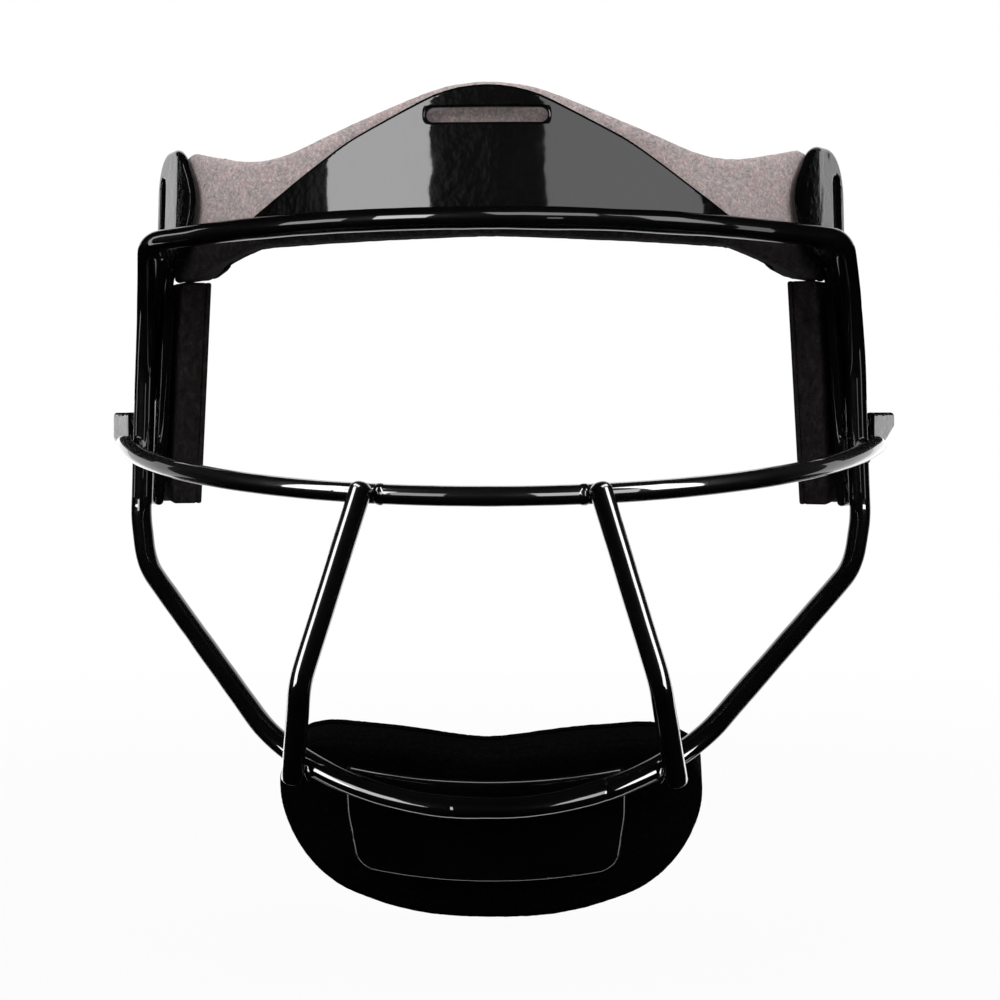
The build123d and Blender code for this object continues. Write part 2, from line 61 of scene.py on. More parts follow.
# A wired value: a sum with it adds a Math node
class Wired:
    def __init__(self, tree, socket):
        self.tree = tree
        self.socket = socket

    def calc(self, operation, first, second):
        return addNode(self.tree, "ShaderNodeMath", {"operation": operation}, {0: first, 1: second})

    def __add__(self, other):
        return self.calc("ADD", self, other)

    def __sub__(self, other):
        return self.calc("SUBTRACT", self, other)

    def __rsub__(self, other):
        return self.calc("SUBTRACT", other, self)

    def __mul__(self, other):
        return self.calc("MULTIPLY", self, other)

    def __pow__(self, other):
        return self.calc("POWER", self, other)

    __radd__ = __add__
    __rmul__ = __mul__


def setStops(colours, stops):
    while len(colours.elements) < len(stops):
        colours.elements.new(0.5)
    for element, (place, colour) in zip(colours.elements, stops):
        element.position = place
        element.color = (*colour, 1)


# Any node: its type, its settings, the values or links of its sockets, and the output to read
def addNode(tree, kind, settings=None, inputs=None, output=0):
    node = tree.nodes.new(kind)
    for key, value in (settings or {}).items():
        if key == "stops":
            setStops(node.color_ramp, value)
        else:
            setattr(node, key, value)
    for key, value in (inputs or {}).items():
        if isinstance(value, Wired):
            tree.links.new(value.socket, node.inputs[key])
        else:
            node.inputs[key].default_value = value
    if len(node.outputs):
        return Wired(tree, node.outputs[output])


def newMaterial(name):
    material = bpy.data.materials.new(name)
    material.use_nodes = True
    material.node_tree.nodes.clear()
    return material, material.node_tree


def setSurface(tree, shader):
    addNode(tree, "ShaderNodeOutputMaterial", {}, {"Surface": shader})


def finishMaterial(tree, inputs):
    setSurface(tree, addNode(tree, "ShaderNodeBsdfPrincipled", {}, inputs))


def objectPlace(tree):
    return addNode(tree, "ShaderNodeTexCoord", output="Object")


def stretched(tree, place, scale):
    return addNode(tree, "ShaderNodeMapping", {}, {"Vector": place, "Scale": scale})


def noiseAt(tree, place, scale, detail, rough=0.5):
    inputs = {"Vector": place, "Scale": scale, "Detail": detail, "Roughness": rough}
    return addNode(tree, "ShaderNodeTexNoise", {}, inputs)


def noiseLayers(tree, place, layers):
    return {word: noiseAt(tree, place, *layer) for word, layer in layers.items()}


def mixLayers(layers, shares):
    parts = [layers[word] * share for word, share in shares.items()]
    mixed = parts[0]
    for part in parts[1:]:
        mixed = mixed + part
    return mixed


def bumpOf(tree, height, strength, distance):
    return addNode(tree, "ShaderNodeBump", {}, {"Height": height, "Strength": strength, "Distance": distance})


def ramp(tree, factor, stops):
    return addNode(tree, "ShaderNodeValToRGB", {"stops": stops}, {"Fac": factor})


# Thick black vinyl from the dip tank: deep gloss, slow ripples and orange peel, stronger on sheets
vinyl = {
    "stops": [(0.3, (0.0012, 0.0012, 0.0013)), (0.7, (0.0026, 0.0026, 0.0029))],
    "layers": {"peel": (520.0, 1.5), "ripple": (130.0, 1.0), "cloud": (38.0, 3.0)},
    "relief": {"ripple": 0.6, "peel": 0.4},
    "scuff": (2400.0, 2.0),
    "scuffStretch": (1, 1, 0.25),
    "scuffPower": 3,
    "cloudRoughness": 0.05,
    "scuffRoughness": 0.1,
    "gloss": {
        "IOR": 1.5, "Specular IOR Level": 0.06,
        "Coat Weight": 1.0, "Coat Roughness": 0.045, "Coat IOR": 1.6,
    },
    "rod": {"roughness": 0.3, "bump": 0.07, "depth": 0.0006},
    "sheet": {"roughness": 0.34, "bump": 0.9, "depth": 0.0009},
}


def vinylMaterial(name, roughness, bump, depth):
    material, tree = newMaterial(name)
    place = objectPlace(tree)
    layers = noiseLayers(tree, place, vinyl["layers"])
    scuff = noiseAt(tree, stretched(tree, place, vinyl["scuffStretch"]), *vinyl["scuff"])
    worn = (scuff ** vinyl["scuffPower"]) * vinyl["scuffRoughness"]
    inputs = {
        "Base Color": ramp(tree, layers["cloud"], vinyl["stops"]),
        "Roughness": roughness + layers["cloud"] * vinyl["cloudRoughness"] + worn,
        "Normal": bumpOf(tree, mixLayers(layers, vinyl["relief"]), bump, depth),
    }
    finishMaterial(tree, {**inputs, **vinyl["gloss"]})
    return material


# Heather knit: fine pile in pink, warm and cool grey flecks
heather = {
    "stops": [
        (0.36, (0.20, 0.168, 0.166)),
        (0.46, (0.332, 0.289, 0.285)),
        (0.54, (0.425, 0.375, 0.370)),
        (0.64, (0.60, 0.548, 0.543)),
    ],
    "tintStops": [(0.42, (0.97, 0.99, 1.0)), (0.58, (1.0, 0.90, 0.89))],
    "layers": {
        "fleck": (1250.0, 3.0, 0.62),
        "patch": (430.0, 2.0, 0.6),
        "fine": (2600.0, 2.0, 0.6),
        "broad": (42.0, 2.0),
    },
    "yarn": {"fleck": 0.46, "patch": 0.16, "fine": 0.28, "broad": 0.1},
    "tint": {"patch": 0.6, "fine": 0.4},
    "relief": {"fleck": 0.6, "fine": 0.4},
    "roughness": 0.86,
    "fineRoughness": 0.1,
    "bump": 0.6,
    "depth": 0.0004,
    "sheen": {"Sheen Weight": 0.08, "Sheen Roughness": 0.5, "Specular IOR Level": 0.15},
}


def knitMaterial(name):
    material, tree = newMaterial(name)
    layers = noiseLayers(tree, objectPlace(tree), heather["layers"])
    tint = ramp(tree, mixLayers(layers, heather["tint"]), heather["tintStops"])
    yarn = ramp(tree, mixLayers(layers, heather["yarn"]), heather["stops"])
    multiply = {"data_type": "RGBA", "blend_type": "MULTIPLY"}
    colour = addNode(tree, "ShaderNodeMix", multiply, {0: 1.0, 6: yarn, 7: tint}, output=2)
    inputs = {
        "Base Color": colour,
        "Roughness": heather["roughness"] + layers["fine"] * heather["fineRoughness"],
        "Normal": bumpOf(tree, mixLayers(layers, heather["relief"]), heather["bump"], heather["depth"]),
    }
    finishMaterial(tree, {**inputs, **heather["sheen"]})
    return material


# Black brushed tricot over foam: soft nap in short streaks, with a shade and grain for each use. Its colour
# follows the nap's bump, paler on the raised nap and darker in its hollows: painted shade, over random broad
# tone
nap = {
    "streakDetail": (4.0, 0.65),
    "finer": 3.2,
    "fineDetail": (2.0, 0.6),
    "broad": (60.0, 2.0),
    "shade": {"nap": 0.6, "fine": 0.25, "broad": 0.15},
    "relief": {"nap": 0.7, "fine": 0.3},
    "stops": (0.36, 0.52, 0.68),
    "middleDivisor": 2.6,
    "roughness": 0.86,
    "fineRoughness": 0.12,
    "bump": 0.9,
}
naps = {
    "templeNap": {
        "dark": (0.0062, 0.0053, 0.0053), "pale": (0.0290, 0.0245, 0.0245),
        "streak": (1, 1, 0.6), "grain": 620.0, "depth": 0.001, "shine": 0.08,
    },
    "browNap": {
        "dark": (0.0105, 0.0090, 0.0093), "pale": (0.0430, 0.0370, 0.0380),
        "streak": (1, 1, 0.8), "grain": 760.0, "depth": 0.0007, "shine": 0.08,
    },
    "chinNap": {
        "dark": (0.0008, 0.0008, 0.0008), "pale": (0.0042, 0.0040, 0.0041),
        "streak": (1, 1, 1), "grain": 1200.0, "depth": 0.0004, "shine": 0.015,
    },
    "liningNap": {
        "dark": (0.0010, 0.0010, 0.0010), "pale": (0.0060, 0.0056, 0.0056),
        "streak": (1, 1, 0.5), "grain": 1000.0, "depth": 0.0005, "shine": 0.02,
    },
}


def napMaterial(name, dark, pale, streak, grain, depth, shine):
    material, tree = newMaterial(name)
    place = objectPlace(tree)
    layers = {
        "nap": noiseAt(tree, stretched(tree, place, streak), grain, *nap["streakDetail"]),
        "fine": noiseAt(tree, place, grain * nap["finer"], *nap["fineDetail"]),
        "broad": noiseAt(tree, place, *nap["broad"]),
    }
    middle = [(low + high) / nap["middleDivisor"] for low, high in zip(dark, pale)]
    stops = list(zip(nap["stops"], (dark, middle, pale)))
    finishMaterial(tree, {
        # Base colour: painted shade in the hollows of the nap, with random broad tone
        "Base Color": ramp(tree, mixLayers(layers, nap["shade"]), stops),
        "Roughness": nap["roughness"] + layers["fine"] * nap["fineRoughness"],
        "Specular IOR Level": shine,
        "Normal": bumpOf(tree, mixLayers(layers, nap["relief"]), nap["bump"], depth),
    })
    return material


# Hook-and-loop strip: small loops. Its colour is paler on each loop and darker between the loops, in step
# with the bump: painted shade between the loops, over random fuzz tone
strip = {
    "loopScale": 1100.0,
    "fuzz": (2600.0, 2.0),
    "shade": {"loops": 0.7, "fuzz": 0.4},
    "stops": [(0.25, (0.022, 0.022, 0.023)), (0.75, (0.006, 0.006, 0.006))],
    "roughness": 0.8,
    "fuzzRoughness": 0.15,
    "shine": 0.2,
    "bump": 0.7,
    "depth": 0.0004,
}


def loopMaterial(name):
    material, tree = newMaterial(name)
    place = objectPlace(tree)
    cells = {"Vector": place, "Scale": strip["loopScale"]}
    layers = {
        "loops": addNode(tree, "ShaderNodeTexVoronoi", {"feature": "F1"}, cells),
        "fuzz": noiseAt(tree, place, *strip["fuzz"]),
    }
    finishMaterial(tree, {
        # Base colour: painted shade, darker between the loops, mixed with random fuzz tone
        "Base Color": ramp(tree, mixLayers(layers, strip["shade"]), strip["stops"]),
        "Roughness": strip["roughness"] + layers["fuzz"] * strip["fuzzRoughness"],
        "Specular IOR Level": strip["shine"],
        "Normal": bumpOf(tree, 1 - layers["loops"], strip["bump"], strip["depth"]),
    })
    return material


rodVinyl = vinylMaterial("rodVinyl", **vinyl["rod"])
sheetVinyl = vinylMaterial("sheetVinyl", **vinyl["sheet"])
heatherKnit = knitMaterial("heatherKnit")
templeNap, browNap, chinNap, liningNap = [napMaterial(name, **values) for name, values in naps.items()]
loopStrip = loopMaterial("loopStrip")
print("materials made")


def mergeAndTurnOut(bm):
    bmesh.ops.remove_doubles(bm, verts=bm.verts, dist=meshing["merge"])
    bmesh.ops.recalc_face_normals(bm, faces=bm.faces)


def addObject(bm, name, material):
    mesh = bpy.data.meshes.new(name)
    bm.to_mesh(mesh)
    bm.free()
    mesh.materials.append(material)
    made = bpy.data.objects.new(name, mesh)
    scene.collection.objects.link(made)
    return made


# Finish of every piece: millimetres to metres, smooth faces, its material and body, and the CAD parts of the
# nodes that it stands for hidden
def makePiece(bm, name, material, nodes=(), weighted=False, parent=None):
    mergeAndTurnOut(bm)
    bmesh.ops.scale(bm, vec=(mm, mm, mm), verts=bm.verts)
    for face in bm.faces:
        face.smooth = True
    piece = addObject(bm, name, material)
    if weighted:
        piece.modifiers.new("evenNormals", "WEIGHTED_NORMAL")
    if parent:
        piece.parent = parent
    else:
        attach(piece, "root")
    if nodes:
        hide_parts(*nodes)
    return piece


# The dip coat is never quite even: slow and quick waves, and swells where it gathered
coat = {"slow": 0.11, "quick": 0.37, "quickShare": 0.45}


def coatWaves(bm, waves, swells=()):
    mergeAndTurnOut(bm)
    bm.normal_update()
    moved = []
    for vert in bm.verts:
        lift = waves * noise.noise(vert.co * coat["slow"])
        lift += waves * coat["quickShare"] * noise.noise(vert.co * coat["quick"])
        for centre, reach, height in swells:
            lift += height * exp(-(((vert.co - Vector(centre)).length / reach) ** 2))
        moved.append((vert, vert.co + vert.normal * lift))
    for vert, place in moved:
        vert.co = place


# A welded member under its coat
def dipPiece(bm, node, waves, swells=(), sheet=False):
    coatWaves(bm, waves, swells)
    material = sheetVinyl if sheet else rodVinyl
    makePiece(bm, node + "_dipped", material, [node], weighted=sheet)


def edgesOf(geometry):
    return [part for part in geometry if isinstance(part, bmesh.types.BMEdge)]


def vertsOf(geometry):
    return [part for part in geometry if isinstance(part, bmesh.types.BMVert)]


def turnedTo(way):
    return way.to_track_quat("Z", "Y").to_matrix().to_4x4()


def cutAt(bm, place, normal, clear=False):
    whole = bm.verts[:] + bm.edges[:] + bm.faces[:]
    cut = bmesh.ops.bisect_plane(bm, geom=whole, plane_co=place, plane_no=normal, clear_outer=clear)
    return cut["geom_cut"]


def pushRing(bm, ring, move):
    made = bmesh.ops.extrude_edge_only(bm, edges=ring)["geom"]
    verts = set(vertsOf(made))
    bmesh.ops.translate(bm, verts=list(verts), vec=move)
    return [edge for edge in edgesOf(made) if edge.verts[0] in verts and edge.verts[1] in verts]


def shrinkRing(bm, ring, share):
    verts = list({vert for edge in ring for vert in edge.verts})
    middle = sum((vert.co for vert in verts), Vector()) / len(verts)
    bmesh.ops.scale(bm, vec=(share, share, share), verts=verts, space=Matrix.Translation(-middle))


# Rounded end of a rod: rings that close like a dome, down to a flat share of the radius
def closeEnd(bm, ring, outward, roundLength, flat, rings=meshing["endRings"]):
    before = 0.0
    size = 1.0
    for step in range(1, rings + 1):
        angle = step / rings * pi / 2
        ring = pushRing(bm, ring, outward * roundLength * (sin(angle) - before))
        before = sin(angle)
        wanted = flat + (1 - flat) * cos(angle)
        shrinkRing(bm, ring, wanted / size)
        size = wanted
    for share in meshing["flatShares"]:
        ring = pushRing(bm, ring, Vector())
        shrinkRing(bm, ring, share)
    bmesh.ops.edgeloop_fill(bm, edges=ring)


def pushStraight(bm, ring, way, length):
    if length <= hair:
        return ring
    count = max(1, round(length / meshing["rodPitch"]))
    for _ in range(count):
        ring = pushRing(bm, ring, way * (length / count))
    return ring


def spinArc(bm, ring, start, way, nextWay, bend):
    turn = way.angle(nextWay)
    axis = way.cross(nextWay).normalized()
    centre = start + axis.cross(way) * bend
    geometry = ring + list({vert for edge in ring for vert in edge.verts})
    steps = max(meshing["arcRings"], round(bend * turn / meshing["rodPitch"]))
    spun = bmesh.ops.spin(
        bm, geom=geometry, cent=centre, axis=axis, angle=turn, steps=steps, use_duplicate=False,
    )
    return edgesOf(spun["geom_last"]), centre + Matrix.Rotation(turn, 3, axis) @ (start - centre)


# A rod along straight runs joined by arcs, from a circle that is extruded and spun
def closedRod(corners, rounds, radius, firstEnd, lastEnd, sides=meshing["rodSides"]):
    bm = bmesh.new()
    points = [Vector(corner) for corner in corners]
    here = points[0]
    way = (points[1] - here).normalized()
    turned = Matrix.Translation(here) @ turnedTo(way)
    circle = bmesh.ops.create_circle(bm, cap_ends=False, segments=sides, radius=radius, matrix=turned)
    ring = list({edge for vert in circle["verts"] for edge in vert.link_edges})
    firstRing, firstWay = list(ring), -way
    for bend, corner, after in zip(rounds, points[1:], points[2:]):
        nextWay = (after - corner).normalized()
        arcStart = corner - way * (bend * tan(way.angle(nextWay) / 2))
        ring = pushStraight(bm, ring, way, (arcStart - here).dot(way))
        ring, here = spinArc(bm, ring, arcStart, way, nextWay, bend)
        way = nextWay
    ring = pushStraight(bm, ring, way, (points[-1] - here).dot(way))
    closeEnd(bm, firstRing, firstWay, **firstEnd)
    closeEnd(bm, ring, way, **lastEnd)
    return bm


def otherSide(corners):
    return [(-x, y, z) for x, y, z in corners]


# Brow wire: up one side run, round its knee and corner, along the forehead arc, and down the other side
browWire = {
    "runEnd": (93.8, -10.0, 0.9),
    "runKnee": (91.8, -11.5, 48.0),
    "arcRadius": 131.0,
    "arcHalf": 74.0,
    "arcFront": 64.0,
    "arcHeight": 69.5,
    "arcSlope": radians(6.0),
    "cornerLead": 16.2,
    "kneeRound": 40.0,
    "cornerRound": 9.0,
    "radius": 2.7,
    "end": {"roundLength": 0.3, "flat": 0.85},
    "waves": 0.09,
    "swells": [((14.0, -64.0, 69.0), 7.0, 0.14), ((43.0, -56.0, 67.5), 6.0, 0.14)],
}


def onBrow(side, depth):
    back = depth * cos(browWire["arcSlope"]) - browWire["arcFront"]
    return (side, back, browWire["arcHeight"] - depth * sin(browWire["arcSlope"]))


# The path's corners, where tangents of the bends meet: at the side, and ahead of the arc's middle
arcShare = browWire["arcHalf"] / browWire["arcRadius"]
arcAlong = sqrt(1 - arcShare * arcShare)
arcSag = browWire["arcRadius"] * (1 - arcAlong)
lead = browWire["cornerLead"]
browCorner = onBrow(browWire["arcHalf"] + arcAlong * lead, arcSag + arcShare * lead)
browApex = onBrow(0.0, arcSag - browWire["arcHalf"] * arcShare / arcAlong)
runEnd, runKnee = browWire["runEnd"], browWire["runKnee"]
browPath = [runEnd, runKnee, browCorner, browApex, *otherSide([browCorner, runKnee, runEnd])]
sideRounds = [browWire["kneeRound"], browWire["cornerRound"]]
browRounds = sideRounds + [browWire["arcRadius"]] + sideRounds[::-1]
bm = closedRod(browPath, browRounds, browWire["radius"], browWire["end"], browWire["end"])
dipPiece(bm, "brow_wire", browWire["waves"], browWire["swells"])

# Lower loop: one bent rod, cut at the two coat joints near the chin, where the coat swells
lowerLoop = {
    "leadShare": 0.104,
    "corners": [(91.8, -14.0, -16.5), (51.0, -67.0, -55.3), (24.0, -76.5, -69.7)],
    "rounds": [14.0, 16.0, 36.0, 75.0],
    "radius": 2.7,
    "end": {"roundLength": 0.3, "flat": 0.85},
    "joints": (-7.5, 29.0),
    "jointEnd": {"roundLength": 0.05, "flat": 0.95},
    "jointGap": 0.04,
    "swell": 0.2,
    "swellBack": 2.0,
    "swellReach": 4.2,
    "waves": 0.07,
}
jawTop = tuple(end + (end - knee) * lowerLoop["leadShare"] for end, knee in zip(runEnd, runKnee))
jawPoints = [runEnd, jawTop, *lowerLoop["corners"]]
jawPath = jawPoints + otherSide(jawPoints[::-1])
jawRounds = lowerLoop["rounds"] + lowerLoop["rounds"][::-1]


def lowerPiece(node, low, high):
    bm = closedRod(jawPath, jawRounds, lowerLoop["radius"], lowerLoop["end"], lowerLoop["end"])
    swells = []
    for joint, side in ((low, -1), (high, 1)):
        if joint is None:
            continue
        outward = Vector((side, 0, 0))
        cut = cutAt(bm, (joint - side * lowerLoop["jointGap"], 0, 0), outward, clear=True)
        verts = vertsOf(cut)
        middle = sum((vert.co for vert in verts), Vector()) / len(verts)
        closeEnd(bm, edgesOf(cut), outward, **lowerLoop["jointEnd"])
        place = middle - outward * lowerLoop["swellBack"]
        swells.append((place, lowerLoop["swellReach"], lowerLoop["swell"]))
    dipPiece(bm, node, lowerLoop["waves"], swells)


leftJoint, rightJoint = lowerLoop["joints"]
lowerPiece("jaw_wire_left", None, leftJoint)
lowerPiece("chin_bar", leftJoint, rightJoint)
lowerPiece("jaw_wire_right", rightJoint, None)
print("brow wire and lower loop made")

# Middle bar: one arc in a plane that rises to the side runs, and rests on them
middleBar = {
    "front": 84.0,
    "height": 3.8,
    "slope": radians(8.7),
    "restTurn": radians(16.5),
    "restShare": 0.967,
    "radius": 2.4,
    "sides": 30,
    "end": {"roundLength": 0.9, "flat": 0.3},
    "waves": 0.05,
}
bar = middleBar
barRise = bar["height"] + (bar["front"] + runEnd[1]) * tan(bar["slope"])
runShare = (barRise - runEnd[2]) / (runKnee[2] - runEnd[2])
runX = runEnd[0] + (runKnee[0] - runEnd[0]) * runShare
runY = runEnd[1] + (runKnee[1] - runEnd[1]) * runShare
rest = (browWire["radius"] + bar["radius"]) * bar["restShare"]
barHalf = runX + rest * cos(bar["restTurn"])
barBack = runY - rest * sin(bar["restTurn"])
barDepth = (bar["front"] + barBack) / cos(bar["slope"])
barRadius = (barHalf**2 + barDepth**2) / (barDepth * 2)
barHalfTurn = acos((barRadius - barDepth) / barRadius)
barApex = barRadius - barRadius / cos(barHalfTurn)


def onBar(side, depth):
    back = depth * cos(bar["slope"]) - bar["front"]
    return (side, back, bar["height"] + depth * sin(bar["slope"]))


barPath = [onBar(-barHalf, barDepth), onBar(0, barApex), onBar(barHalf, barDepth)]
barEnd = bar["end"]
bm = closedRod(barPath, [barRadius], bar["radius"], barEnd, barEnd, bar["sides"])
dipPiece(bm, "middle_bar", bar["waves"])

# Inner bars, each resting on the front of the middle bar and of the chin loop
innerBars = {
    "top": (27.2, 6.9),
    "ahead": 5.25,
    "bend": (41.3, -90.0, -38.7),
    "foot": (45.5, -73.0, -64.0),
    "bendRound": 12.0,
    "radius": 2.7,
    "topCut": 1.8,
    "footCut": 0.9,
    "topEnd": {"roundLength": 2.1, "flat": 0.12, "rings": 9},
    "footEnd": {"roundLength": 0.8, "flat": 0.3},
    "waves": 0.05,
}
innerSide, innerHeight = innerBars["top"]
innerFront = middleBar["front"] - barRadius + sqrt(barRadius**2 - innerSide**2) + innerBars["ahead"]
innerPath = [(innerSide, -innerFront, innerHeight), innerBars["bend"], innerBars["foot"]]
for word, corners in (("right", innerPath), ("left", otherSide(innerPath))):
    topPoint, bendPoint, footPoint = [Vector(corner) for corner in corners]
    footPoint += (bendPoint - footPoint).normalized() * innerBars["footCut"]
    topPoint += (bendPoint - topPoint).normalized() * innerBars["topCut"]
    bm = closedRod(
        [topPoint, bendPoint, footPoint], [innerBars["bendRound"]],
        innerBars["radius"], innerBars["topEnd"], innerBars["footEnd"],
    )
    dipPiece(bm, "inner_bar_" + word, innerBars["waves"])
print("cross bars made")

# Plan of the head: lengths run along the forehead line, depths go inward from it
head = {
    "radius": 123.8,
    "front": 56.8,
    "templeRadius": 30.0,
    "foreheadTurn": radians(33.5),
    "templeTurn": radians(66.0),
    "lean": 0.029,
    "top": 90.4,
}
headTurnLength = head["radius"] * head["foreheadTurn"]
headSideLength = headTurnLength + head["templeRadius"] * (head["templeTurn"] - head["foreheadTurn"])
headCentre = head["radius"] - head["front"]
templeX = (head["radius"] - head["templeRadius"]) * sin(head["foreheadTurn"])
templeY = headCentre - (head["radius"] - head["templeRadius"]) * cos(head["foreheadTurn"])


def onHead(length, height, depth, lean=0.0):
    side = -1 if length < 0 else 1
    length = abs(length)
    if length <= headTurnLength:
        turn = length / head["radius"]
        x = (head["radius"] - depth) * sin(turn)
        y = headCentre - (head["radius"] - depth) * cos(turn)
    else:
        templeTurn = head["foreheadTurn"] + (length - headTurnLength) / head["templeRadius"]
        turn = min(head["templeTurn"], templeTurn)
        past = max(0.0, length - headSideLength)
        x = templeX + (head["templeRadius"] - depth) * sin(turn) + past * cos(turn)
        y = templeY - (head["templeRadius"] - depth) * cos(turn) + past * sin(turn)
    return Vector((side * (x + lean * (head["top"] - height)), y, height))


def onLeaningHead(length, height, depth):
    return onHead(length, height, depth, head["lean"])


# Length along the head of a point so far ahead of the origin, on a face at a depth
def lengthAt(ahead, depth):
    radius = head["templeRadius"] - depth
    foot = templeY - radius * cos(head["templeTurn"])
    if -ahead > foot:
        return headSideLength + (-ahead - foot) / sin(head["templeTurn"])
    return headTurnLength + head["templeRadius"] * (acos((templeY + ahead) / radius) - head["foreheadTurn"])


# Length along the forehead of a point so far to the side, on a face at a depth
def lengthFor(half, depth):
    return head["radius"] * asin(half / (head["radius"] - depth))


# Length along the whole head of a point so far to the side, on a face at a depth
def lengthSeen(x, depth):
    turn = asin(min(1.0, x / (head["radius"] - depth)))
    if turn <= head["foreheadTurn"]:
        return head["radius"] * turn
    reach = head["templeRadius"] - depth
    share = (x - templeX) / reach
    if share < sin(head["templeTurn"]):
        return headTurnLength + head["templeRadius"] * (asin(share) - head["foreheadTurn"])
    return headSideLength + (x - templeX - reach * sin(head["templeTurn"])) / cos(head["templeTurn"])


# Chin: a tilted ring; heights run along its axis, depths go inward from it
chin = {"tilt": radians(22.0), "radius": 84.0, "front": 76.5, "drop": 69.7, "seat": 2.85}
chinUp = Vector((0, -sin(chin["tilt"]), cos(chin["tilt"])))
chinIn = Vector((0, cos(chin["tilt"]), sin(chin["tilt"])))
chinOrigin = Vector((0, -chin["front"], -chin["drop"])) + chinIn * chin["seat"]


def onChin(side, height, depth):
    sag = chin["radius"] - sqrt((chin["radius"] - depth) ** 2 - side**2)
    return chinOrigin + Vector((side, 0, 0)) + chinUp * height + chinIn * sag


# Outline of a blank: each corner is two coordinates and its rounding
def addOutline(curve, outline):
    knots = []
    for index, (x, y, bend) in enumerate(outline):
        here = Vector((x, y))
        before = Vector(outline[index - 1][:2]) - here
        after = Vector(outline[(index + 1) % len(outline)][:2]) - here
        if bend <= 0:
            knots.append((here, here, here))
            continue
        turn = pi - before.angle(after)
        reach = bend * tan(turn / 2)
        pull = reach * (4 / 3) * tan(turn / 4) / tan(turn / 2)
        start = here + before.normalized() * reach
        end = here + after.normalized() * reach
        knots.append((start, start, start - before.normalized() * pull))
        knots.append((end, end - after.normalized() * pull, end))
    spline = curve.splines.new("BEZIER")
    spline.bezier_points.add(len(knots) - 1)
    spline.use_cyclic_u = True
    for point, (place, leftHandle, rightHandle) in zip(spline.bezier_points, knots):
        point.handle_left_type = point.handle_right_type = "FREE"
        point.co = place.to_3d()
        point.handle_left = leftHandle.to_3d()
        point.handle_right = rightHandle.to_3d()


# Flat blank with holes and a rolled rim, from a filled curve
def blank(outline, thickness, rim, holes=(), steps=meshing["sheetSteps"]):
    curve = bpy.data.curves.new("blank", "CURVE")
    curve.dimensions = "2D"
    curve.fill_mode = "BOTH"
    curve.resolution_u = steps
    curve.extrude = thickness / 2 - rim
    curve.bevel_depth = rim
    curve.bevel_resolution = meshing["rimRings"]
    curve.offset = -rim
    for line in (outline, *holes):
        addOutline(curve, line)
    holder = bpy.data.objects.new("blank", curve)
    scene.collection.objects.link(holder)
    bpy.context.view_layer.update()
    mesh = bpy.data.meshes.new_from_object(holder)
    bm = bmesh.new()
    bm.from_mesh(mesh)
    bpy.data.objects.remove(holder)
    bpy.data.curves.remove(curve)
    bpy.data.meshes.remove(mesh)
    bmesh.ops.remove_doubles(bm, verts=bm.verts, dist=meshing["blankMerge"])
    return bm


def sliceAll(bm, axis, pitch):
    normal = Vector([1.0 if index == axis else 0.0 for index in range(3)])
    low = min(vert.co[axis] for vert in bm.verts)
    high = max(vert.co[axis] for vert in bm.verts)
    count = max(1, round((high - low) / pitch))
    for index in range(1, count):
        cutAt(bm, normal * (low + (high - low) * index / count), normal)


def mirrored(outline):
    return [(-x, y, bend) for x, y, bend in outline[::-1]]


def slotOutline(centre, length, width, upright=False):
    a, b = (width / 2, length / 2) if upright else (length / 2, width / 2)
    corners = ((-a, -b), (-a, b), (a, b), (a, -b))
    return [(centre[0] + x, centre[1] + y, width / 2 - hair) for x, y in corners]


# A welded sheet: a blank cut fine enough to bend, then laid on its carrier
def sheetPiece(node, outline, plate, placer, middleDepth, holes=(), side=1):
    bm = blank(outline, plate["thickness"], plate["rim"], holes)
    sliceAll(bm, 0, plate.get("pitch", meshing["sheetPitch"]))
    for vert in bm.verts:
        vert.co = placer(vert.co.x, vert.co.y, middleDepth + vert.co.z)
    if side < 0:
        bmesh.ops.scale(bm, vec=(-1, 1, 1), verts=bm.verts)
    dipPiece(bm, node, plate["waves"], sheet=True)


# Forehead plate: peaked, bent to the forehead, one long strap slot
foreheadPlate = {
    "apex": (0, 105.8, 34.0),
    "corners": [(34.1, 88.7, 60.0), (60.0, 70.2, 1.0), (60.0, 68.6, 0.6)],  # half width, height, rounding
    "slotHeight": 94.35,
    "slotLength": 28.4,
    "slotWidth": 3.5,
    "outerDepth": -4.4,
    "thickness": 2.4,
    "rim": 0.7,
    "waves": 0.045,
}
plate = foreheadPlate
half = [(lengthFor(x, plate["outerDepth"]), height, bend) for x, height, bend in plate["corners"]]
outline = [plate["apex"], *half, *mirrored(half)]
slot = slotOutline((0, plate["slotHeight"]), plate["slotLength"], plate["slotWidth"])
sheetPiece("forehead_plate", outline, plate, onHead, plate["outerDepth"] + plate["thickness"] / 2, [slot])

# Side plates: an ear above the brow wire and a strip down behind the side run
sidePlate = {
    "corners": [  # how far ahead of the origin, height, rounding
        (1.5, -1.1, 1.2),  # foot of the strip, rear and front
        (12.2, -1.1, 1.2),
        (17.2, 58.0, 5.0),  # neck below the ear
        (29.0, 63.0, 1.2),  # foot of the ear
        (35.6, 77.0, 12.0),  # its bulge
        (27.0, 90.4, 11.0),  # its top, front and rear
        (7.0, 90.4, 11.0),
        (7.0, 63.0, 1.2),
        (1.5, 58.0, 1.2),
    ],
    "slotAhead": 12.5,
    "slotHeight": 73.6,
    "slotLength": 20.0,
    "slotWidth": 4.2,
    "outerDepth": -2.7,
    "thickness": 2.4,
    "rim": 1.1,
    "pitch": 1.0,
    "waves": 0.04,
}
plate = sidePlate
outline = [(lengthAt(ahead, plate["outerDepth"]), height, bend) for ahead, height, bend in plate["corners"]]
slotCentre = (lengthAt(plate["slotAhead"], plate["outerDepth"]), plate["slotHeight"])
slot = slotOutline(slotCentre, plate["slotLength"], plate["slotWidth"], upright=True)
middleDepth = plate["outerDepth"] + plate["thickness"] / 2
for side, word in bothWays:
    sheetPiece("side_plate_" + word, outline, plate, onLeaningHead, middleDepth, [slot], side)

